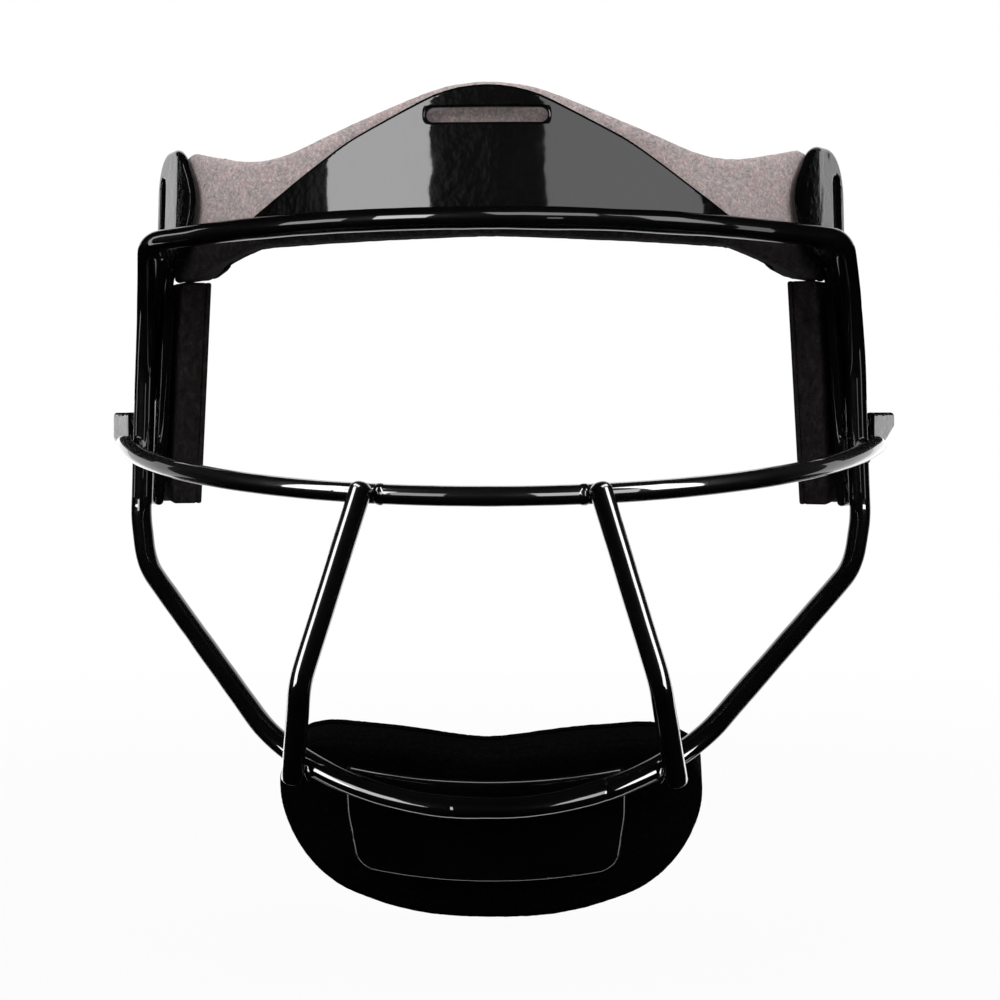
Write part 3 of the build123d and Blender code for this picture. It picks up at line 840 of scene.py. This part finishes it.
# Strap tabs outside the ends of the middle bar: the left one reaches lower
strapTab = {
    "gap": 0.3,
    "flare": 7.2,
    "reach": 13.2,
    "behind": 1.85,
    "low": 12.0,
    "top": 23.2,
    "footShare": {"right": 0.25, "left": 0.55},
    "rearLow": {"right": 19.4, "left": 16.0},
    "innerRound": 1.1,
    "outerRound": 1.4,
    "thickness": 2.4,
    "rim": 1.0,
    "waves": 0.05,
}
tab = strapTab
tabWay = Vector((tab["flare"], tab["reach"], 0))
tabLength = tabWay.length
tabWay.normalize()
tabOut = Vector((tabWay.y, -tabWay.x, 0))
tabStart = Vector((runX + browWire["radius"] + tab["gap"], tab["behind"] + runY, 0))


def onTab(length, height, depth):
    return tabStart + tabWay * length + tabOut * depth + Vector((0, 0, height))


for side, word in bothWays:
    outline = [
        (0, tab["low"], tab["innerRound"]),
        (tabLength * tab["footShare"][word], tab["low"], tab["outerRound"]),
        (tabLength, tab["rearLow"][word], tab["outerRound"]),
        (tabLength, tab["top"], tab["outerRound"]),
        (0, tab["top"], tab["innerRound"]),
    ]
    sheetPiece("strap_tab_" + word, outline, tab, onTab, 0, side=side)

# Chin plate: a curved sheet behind the chin bar
chinPlate = {
    "corners": [(33.7, 5.0, 2.0), (33.6, -8.0, 30.0), (31.6, -22.6, 5.0)],  # half width, height, rounding
    "thickness": 2.4,
    "rim": 0.95,
    "waves": 0.03,
}
outline = chinPlate["corners"] + mirrored(chinPlate["corners"])
sheetPiece("chin_plate", outline, chinPlate, onChin, chinPlate["thickness"] / 2)
print("plates made")

# Weld beads under the coat, where members meet: place, size and the way that each lies
weldBeads = {
    "both": [
        ((23.7, -81.6, 4.2), (2.0, 2.62, 2.62), (0, 0, 1)),
        ((41.8, -72.6, -62.2), (0.9, 0.9, 2.0), (0.2, 0, 1)),
        ((95.0, -10.6, 20.6), (1.0, 1.0, 1.6), (0, 0, 1)),
        ((95.4, -12.0, 11.4), (1.0, 1.0, 1.4), (0, 0, 1)),
    ],
    "leftOnly": ((-4.7, -78.15, -69.55), (1.3, 1.0, 0.7), (0, 0, 1)),
    "unevenness": 0.16,
    "unevenScale": 0.8,
}


def addBead(bm, centre, size, along):
    middle = Vector(centre)
    turned = turnedTo(Vector(along).normalized())
    place = Matrix.Translation(middle) @ turned @ Matrix.Diagonal((*size, 1))
    made = bmesh.ops.create_icosphere(bm, subdivisions=4, radius=1.0, matrix=place)["verts"]
    for vert in made:
        lift = weldBeads["unevenness"] * noise.noise(vert.co * weldBeads["unevenScale"])
        vert.co += (vert.co - middle).normalized() * lift


bm = bmesh.new()
for centre, size, along in weldBeads["both"]:
    addBead(bm, centre, size, along)
    otherCentre, otherAlong = otherSide([centre, along])
    addBead(bm, otherCentre, size, otherAlong)
addBead(bm, *weldBeads["leftOnly"])
makePiece(bm, "weld_beads", rodVinyl)
print("weld beads made")

# Soft layers: a blank cut into a fine grid, laid on its carrier, its rim drawn back, its middle crowned
soft = {
    "crownReach": 9.0,
    "crownPower": 0.6,
    "sag": 0.12,
    "sagScale": 0.09,
    "sagPlane": 3.1,
    "ragScale": 0.9,
    "ragPlane": 1.7,
    "lineThickness": 0.02,
    "sharpTurn": 0.5,
}


# Points along the outline, from the sharp edges of a thin blank
def rimLine(outline):
    bm = blank(outline, soft["lineThickness"], 0.0)
    points = []
    for edge in bm.edges:
        if len(edge.link_faces) == 2 and edge.calc_face_angle(0) < soft["sharpTurn"]:
            continue
        start, end = [vert.co.xy for vert in edge.verts]
        count = max(1, ceil((end - start).length / meshing["rimPitch"]))
        points += [start.lerp(end, index / count) for index in range(count)]
    bm.free()
    return points


def rimTree(outline):
    line = rimLine(outline)
    tree = kdtree.KDTree(len(line))
    for index, point in enumerate(line):
        tree.insert(point.to_3d(), index)
    tree.balance()
    return tree


# Form: rim radius, how far the rim is drawn back in front, its share behind, its reach, crown and ragged edge
def softLayer(
    name, outline, depths, material, nodes, placer, form=None, parent=None, side=1, cut=None,
):
    shape = {"rim": 0.5, "draw": 0.0, "drawRear": 0.0, "reach": 3.0, "crown": 0.0, "rag": 0.0, **(form or {})}
    front, rear = depths
    thickness = rear - front
    bm = blank(outline, thickness, min(shape["rim"], thickness / 2 - hair), steps=meshing["softSteps"])
    for axis in (0, 1):
        sliceAll(bm, axis, shape.get("pitch", meshing["softPitch"]))
    if cut:
        height, upward = cut
        sliced = cutAt(bm, (0, height, 0), (0, upward, 0), clear=True)
        bmesh.ops.holes_fill(bm, edges=edgesOf(sliced))
    tree = rimTree(outline)
    for vert in bm.verts:
        u, v, w = vert.co
        away = tree.find(Vector((u, v, 0)))[2]
        inside = min(1.0, away / shape["reach"])
        behind = 0.5 + w / thickness
        curl = 1 - sqrt(max(0.0, 1 - (1 - inside) ** 2))
        back = shape["draw"] * curl * (1 - behind * (1 - shape["drawRear"]))
        crowned = shape["crown"] * min(1.0, away / soft["crownReach"]) ** soft["crownPower"]
        sagPlace = Vector((u * soft["sagScale"], v * soft["sagScale"], soft["sagPlane"]))
        swell = (crowned + soft["sag"] * noise.noise(sagPlace)) * (1 - behind)
        ragPlace = Vector((u * soft["ragScale"], v * soft["ragScale"], soft["ragPlane"]))
        ragged = shape["rag"] * noise.noise(ragPlace) * (1 - inside)
        vert.co = placer(u, v + ragged, (front + rear) / 2 + w + back - swell)
    if side < 0:
        bmesh.ops.scale(bm, vec=(-1, 1, 1), verts=bm.verts)
    return makePiece(bm, name, material, nodes, parent=parent)


def block(half, low, high, bend):
    return [(half, high, bend), (half, low, bend), (-half, low, bend), (-half, high, bend)]


# Forehead pad: heather knit in front, foam, black lining behind; a corner is its length, height and rounding
foreheadPad = {
    "apex": (0, 106.1, 48.0),
    "dip": (58.1, 84.2, 37.0),
    "lobe": (84.8, 89.0, 8.0),
    "endTop": (97.4, 87.4, 2.0),
    "endLow": (105.6, 57.1, 2.0),
    "foot": (87.0, 57.0, 5.0),
    "low": (61.5, 64.6, 25.0),
    "lowMiddle": (0, 66.4, 120.0),
    "footSides": (58.6, 79.0),
    "footRise": 0.12,
    "easing": 0.7,
    "joint": 67.5,
    "jointLap": 0.05,
    "facing": (0.0, 1.2),
    "foam": (1.5, 10.5),
    "lining": (10.8, 12.0),
    "fastener": (-1.7, -0.3),
    "fastenerBlock": (40.0, 70.0, 82.0, 1.0),
    "foamForm": {"rim": 1.2, "draw": 1.6, "crown": 0.1, "rag": 0.15},
    "coverForm": {"draw": 1.2, "drawRear": 1.0, "reach": 2.4, "rag": 0.12},
    "lowerForm": {"draw": 1.2, "drawRear": 1.0, "reach": 2.4, "rag": 0.3},
    "liningForm": {"rag": 0.12},
}
half = [foreheadPad[word] for word in ("dip", "lobe", "endTop", "endLow", "foot", "low")]
padOutline = [foreheadPad["apex"], *half, foreheadPad["lowMiddle"], *mirrored(half)]


# Deeper layers run further along the head, to keep the cover's outline from the front, and rise at the foot
def onForeheadPad(length, height, depth):
    pad = foreheadPad
    if depth <= pad["facing"][1]:
        return onHead(length, height, depth)
    front = abs(length)
    wanted = lengthSeen(onHead(front, height, pad["facing"][1]).x, depth)
    eased = max(front, min(wanted, front + max(0.0, pad["endTop"][0] - front) * pad["easing"]))
    inner, outer = pad["footSides"]
    share = min(1.0, max(0.0, (onHead(eased, height, depth).x - inner) / (outer - inner)))
    floor = pad["low"][1] + (pad["foot"][1] - pad["low"][1]) * share
    if height < floor and share > 0:
        height = floor - (floor - height) * pad["footRise"]
    return onHead(copysign(eased, length), height, depth)


pad = foreheadPad
foreheadCore = softLayer(
    "forehead_pad_core", padOutline, pad["foam"], templeNap, ["forehead_pad_foam"],
    onForeheadPad, pad["foamForm"],
)
softLayer(
    "forehead_pad_cover", padOutline, pad["facing"], heatherKnit, ["forehead_pad_facing"],
    onForeheadPad, pad["coverForm"], foreheadCore, cut=(pad["joint"], -1),
)
softLayer(
    "forehead_pad_lower_cover", padOutline, pad["facing"], browNap, [],
    onForeheadPad, pad["lowerForm"], foreheadCore, cut=(pad["joint"] - pad["jointLap"], 1),
)
softLayer(
    "forehead_pad_backing", padOutline, pad["lining"], liningNap, ["forehead_pad_lining"],
    onForeheadPad, pad["liningForm"], foreheadCore,
)
softLayer(
    "forehead_fastener_strip", block(*pad["fastenerBlock"]), pad["fastener"], loopStrip,
    ["forehead_fastener"], onHead, parent=foreheadCore,
)

# Temple pads: plain slabs with crisp corners and a slightly hollow foot
templePad = {
    "lead": 8.0,
    "footLead": 13.0,
    "length": 25.6,
    "top": 57.0,
    "drop": 0.8,
    "cornerRound": 0.8,
    "hollow": 1.2,
    "hollowRound": 8.0,
    "foam": (1.7, 8.25),
    "lining": (8.3, 9.6),
    "fastener": (0.0, 1.4),
    "fastenerMargin": 6.0,
    "foamForm": {"draw": 0.9, "reach": 1.6, "crown": 0.15},
    "liningForm": {"rim": 0.4},
}


def templeOutline(margin):
    pad = templePad
    hollow, hollowRound = (0.0, 0) if margin else (pad["hollow"], pad["hollowRound"])
    foot = margin - pad["drop"]
    top = pad["top"] - margin
    frontTop = headSideLength + pad["lead"] + margin
    frontFoot = headSideLength + pad["footLead"] + margin
    rear = headSideLength + pad["lead"] + pad["length"] - margin
    corners = [(rear, foot), (rear, top), (frontTop, top), (frontFoot, foot)]
    middle = ((frontFoot + rear) / 2, foot + hollow, hollowRound)
    return [(*corner, pad["cornerRound"]) for corner in corners] + [middle]


pad = templePad
slab, fastenerSlab = templeOutline(0), templeOutline(pad["fastenerMargin"])
for side, word in bothWays:
    core = softLayer(
        "temple_pad_core_" + word, slab, pad["foam"], templeNap, ["temple_pad_" + word],
        onLeaningHead, pad["foamForm"], side=side,
    )
    softLayer(
        "temple_pad_backing_" + word, slab, pad["lining"], templeNap,
        ["temple_lining_" + word], onLeaningHead, pad["liningForm"], core, side,
    )
    softLayer(
        "temple_fastener_strip_" + word, fastenerSlab, pad["fastener"], loopStrip,
        ["temple_fastener_" + word], onLeaningHead, parent=core, side=side,
    )

# Chin pad: bean-shaped, with a shallow dip in its top edge; corners and rounding are shares of its size
chinPad = {
    "half": 52.3,
    "above": 10.9,
    "below": 35.9,
    "dipShare": 0.83,
    "dipRound": 50.0,
    "corners": [
        (0.396, 1.0, 1.3), (0.81, 0.62, 0.47), (1.0, -0.15, 0.31),
        (1.0, -0.46, 0.4), (0.875, -0.89, 0.41), (0.38, -1.0, 2.4),
    ],
    "fastener": (2.7, 4.1),
    "fastenerBlock": (26.0, -17.8, 2.0, 1.0),
    "facing": (4.4, 5.6),
    "foam": (5.9, 13.9),
    "lining": (14.2, 15.4),
    "foamForm": {"rim": 1.4, "draw": 1.2, "crown": 0.1, "rag": 0.12, "pitch": 1.8},
    "coverForm": {"draw": 1.2, "drawRear": 1.0, "reach": 2.6, "rag": 0.12, "pitch": 1.8},
    "liningForm": {"rag": 0.12, "pitch": 1.8},
}
pad = chinPad
half = [
    (pad["half"] * x, (pad["above"] if height > 0 else pad["below"]) * height, pad["half"] * bend)
    for x, height, bend in pad["corners"]
]
chinOutline = [(0, pad["above"] * pad["dipShare"], pad["dipRound"]), *half, *mirrored(half)]
chinCore = softLayer(
    "chin_pad_core", chinOutline, pad["foam"], chinNap, ["chin_pad_foam"],
    onChin, pad["foamForm"],
)
softLayer(
    "chin_pad_cover", chinOutline, pad["facing"], chinNap, ["chin_pad_facing"],
    onChin, pad["coverForm"], chinCore,
)
softLayer(
    "chin_pad_backing", chinOutline, pad["lining"], chinNap, ["chin_pad_lining"],
    onChin, pad["liningForm"], chinCore,
)
softLayer(
    "chin_fastener_strip", block(*pad["fastenerBlock"]), pad["fastener"], loopStrip,
    ["chin_fastener"], onChin, parent=chinCore,
)
print("pads made")


# A camera or lamp that looks at the object, from so many degrees round and above it
def addAimed(name, data, azimuth, elevation, distance):
    around, up = radians(azimuth), radians(elevation)
    place = Vector((sin(around) * cos(up), -cos(around) * cos(up), sin(up))) * distance
    holder = bpy.data.objects.new(name, data)
    holder.location = place
    holder.rotation_euler = (-place).to_track_quat("-Z", "Y").to_euler()
    scene.collection.objects.link(holder)
    return holder


view = {"azimuth": 3.0, "elevation": 2.0, "distance": 0.65, "lens": 88.3, "sensor": 36.0, "near": 0.01}
cameraData = bpy.data.cameras.new("camera")
cameraData.lens = view["lens"]
cameraData.sensor_width = view["sensor"]
cameraData.clip_start = view["near"]
scene.camera = addAimed("camera", cameraData, view["azimuth"], view["elevation"], view["distance"])

# Floor and backdrop: one pale sweep, in metres, whose white is a little greyer near the object
sweep = {
    "floor": -0.1005,
    "front": -2.2,
    "back": 1.6,
    "top": 2.2,
    "half": 2.2,
    "round": 0.5,
    "roundRings": 16,
    "nearWhite": (0.15, 0.955),
    "farWhite": (0.6, 1.0),
    "pale": (0.8, 0.8, 0.8, 1),
}
white = (1, 1, 1, 1)


# How far a ray shows the plain white of the backdrop: camera, glossy and transmitted rays
def whiteRays(tree):
    seen = 0
    for output in ("Is Camera Ray", "Is Glossy Ray", "Is Transmission Ray"):
        ray = addNode(tree, "ShaderNodeLightPath", output=output)
        seen = ray.calc("MAXIMUM", ray, seen)
    return seen


def sweepMaterial(name):
    material, tree = newMaterial(name)
    away = addNode(tree, "ShaderNodeVectorMath", {"operation": "LENGTH"}, {0: objectPlace(tree)}, "Value")
    (near, nearShare), (far, farShare) = sweep["nearWhite"], sweep["farWhite"]
    spread = {"Value": away, "From Min": near, "From Max": far, "To Min": nearShare, "To Max": farShare}
    clear = addNode(tree, "ShaderNodeMapRange", {}, spread)
    pale = addNode(tree, "ShaderNodeBsdfDiffuse", {}, {"Color": sweep["pale"]})
    glow = addNode(tree, "ShaderNodeEmission", {}, {"Color": white, "Strength": 1.0})
    setSurface(tree, addNode(tree, "ShaderNodeMixShader", {}, {0: whiteRays(tree) * clear, 1: pale, 2: glow}))
    return material


bm = bmesh.new()
profile = [(sweep["front"], sweep["floor"]), (sweep["back"], sweep["floor"]), (sweep["back"], sweep["top"])]
line = [bm.verts.new((-sweep["half"], y, z)) for y, z in profile]
for pair in zip(line, line[1:]):
    bm.edges.new(pair)
bmesh.ops.bevel(
    bm, geom=[line[1]], offset=sweep["round"], offset_type="OFFSET", affect="VERTICES",
    segments=sweep["roundRings"], profile=0.5, material=-1,
)
made = bmesh.ops.extrude_edge_only(bm, edges=bm.edges[:])["geom"]
bmesh.ops.translate(bm, verts=vertsOf(made), vec=(2 * sweep["half"], 0, 0))
for face in bm.faces:
    face.smooth = True
backdrop = addObject(bm, "sweep", sweepMaterial("paleSweep"))
backdrop.visible_glossy = False

# World: white where rays show it, and a weaker fill light on the object
fillStrength = 0.62
world = bpy.data.worlds.new("studio")
scene.world = world
world.use_nodes = True
tree = world.node_tree
tree.nodes.clear()
glow = whiteRays(tree) * (1 - fillStrength) + fillStrength
sky = addNode(tree, "ShaderNodeBackground", {}, {"Color": white, "Strength": glow})
addNode(tree, "ShaderNodeOutputWorld", {}, {"Surface": sky})

# Dark cards that only gloss mirrors: a tent open at the back, and a shade beside each temple, in metres
tent = {"radius": 1.9, "open": 1.3, "around": 48, "up": 24}
shade = {"low": 0.027, "high": 0.072, "ends": ((0.150, -0.010), (0.084, 0.045))}
cardMaterial, tree = newMaterial("darkCard")
setSurface(tree, addNode(tree, "ShaderNodeBsdfDiffuse", {}, {"Color": (0.0, 0.0, 0.0, 1)}))


def addCard(bm, name):
    card = addObject(bm, name, cardMaterial)
    card.visible_camera = False
    card.visible_diffuse = False
    card.visible_shadow = False
    card.visible_transmission = False


bm = bmesh.new()
bmesh.ops.create_uvsphere(bm, u_segments=tent["around"], v_segments=tent["up"], radius=tent["radius"])
cutAt(bm, (0, tent["open"], 0), (0, 1, 0), clear=True)
addCard(bm, "darkTent")
for side, word in bothWays:
    bm = bmesh.new()
    ends = [bm.verts.new((side * x, y, shade["low"])) for x, y in shade["ends"]]
    made = bmesh.ops.extrude_edge_only(bm, edges=[bm.edges.new(ends)])["geom"]
    bmesh.ops.translate(bm, verts=vertsOf(made), vec=(0, 0, shade["high"] - shade["low"]))
    addCard(bm, "shade" + word.capitalize())

# Lamps: degrees round and above the object, degrees wide and high, brightness, and the pieces that mirror it
# A lamp that names none lights everything, and no gloss shows it
barAndBeads = ["middle_bar", "weld_beads"]
innerPair = ["inner_bar_left", "inner_bar_right"]
lamps = [
    ("softLeft", -42, 38, 44, 34, 2.9, None),
    ("softRight", 42, 38, 44, 34, 2.9, None),
    ("panelLeft", -52, 32, 15, 50, 20.0, barAndBeads),
    ("panelRight", 51, 32, 16, 50, 20.0, barAndBeads),
    ("taperLeft", -36, 16, 16, 26, 18.0, barAndBeads),
    ("innerLeft", -20, 10, 14, 26, 5.0, barAndBeads),
    ("innerRight", 25, 12, 29, 30, 8.0, barAndBeads),
    ("barLeft", -56, 8, 28, 60, 18.0, ["inner_bar_left"]),
    ("barRight", 56, 8, 28, 60, 18.0, ["inner_bar_right"]),
    ("barOverLeft", -56, 60, 60, 24, 14.0, ["inner_bar_left"]),
    ("barOverRight", 56, 60, 60, 24, 14.0, ["inner_bar_right"]),
    ("barTop", 180, 40, 120, 14, 2.2, ["middle_bar"]),
    ("chinLeft", -48, -11, 28, 21, 21.0, ["chin_bar", "jaw_wire_left"]),
    ("chinInnerLeft", -27, -8, 18, 24, 9.0, ["chin_bar", "jaw_wire_left"]),
    ("chinRight", 44, -11, 30, 21, 21.0, ["chin_bar", "jaw_wire_right"]),
    ("chinInnerRight", 20, -8, 18, 22, 7.0, ["chin_bar"]),
    ("browOuterLeft", -44, 14, 14, 22, 4.4, ["brow_wire"]),
    ("browInnerLeft", -23, 19, 13, 27, 10.0, ["brow_wire"]),
    ("browInnerRight", 12, 37, 24, 24, 3.4, ["brow_wire"]),
    ("browOuterRight", 43, 28, 18, 34, 3.5, ["brow_wire"]),
    ("runLineLeft", 13, 0, 5, 12, 2.2, ["brow_wire"]),
    ("runLineRight", 60, 0, 9, 30, 2.0, ["brow_wire"]),
    ("edgeLeft", -86, 5, 6, 60, 3.6, ["brow_wire", "side_plate_left"]),
    ("footLeft", -142, 0, 20, 70, 2.2, innerPair),
    ("footRight", 142, 0, 20, 70, 2.2, innerPair),
    ("tabLeft", -130, 0, 50, 50, 1.25, ["strap_tab_left", "middle_bar"]),
    ("tabRight", 130, 0, 50, 50, 1.7, ["strap_tab_right", "middle_bar"]),
    ("plateLeft", -29.5, 5, 25, 30, 6.4, ["forehead_plate"]),
    ("plateRight", 29.5, 5, 37, 30, 2.0, ["forehead_plate"]),
    ("chinUnder", 0, -110, 100, 9, 3.6, ["chin_bar", "chin_plate", "jaw_wire_left", "jaw_wire_right"]),
    ("chinOver", 0, 72, 80, 22, 5.0, ["chin_plate"]),
    ("chinEdgeLeft", -100, -15, 14, 50, 2.2, ["chin_plate"]),
    ("chinEdgeRight", 100, -15, 14, 50, 2.2, ["chin_plate"]),
]
lampDistance = 1.3


def lampSide(degrees):
    return 2 * lampDistance * tan(radians(degrees) / 2)


for name, azimuth, elevation, wide, high, bright, mirroredBy in lamps:
    lamp = bpy.data.lights.new(name, "AREA")
    lamp.shape = "RECTANGLE"
    lamp.size = lampSide(wide)
    lamp.size_y = lampSide(high)
    lamp.energy = bright * lamp.size * lamp.size_y * pi
    holder = addAimed(name, lamp, azimuth, elevation, lampDistance)
    holder.visible_camera = False
    if mirroredBy:
        holder.visible_diffuse = False
        linked = bpy.data.collections.new(name)
        for piece in mirroredBy:
            linked.objects.link(bpy.data.objects.get(piece + "_dipped") or bpy.data.objects[piece])
        holder.light_linking.receiver_collection = linked
    else:
        holder.visible_glossy = False

scene.view_settings.view_transform = "Standard"
print("camera, sweep and lamps set")
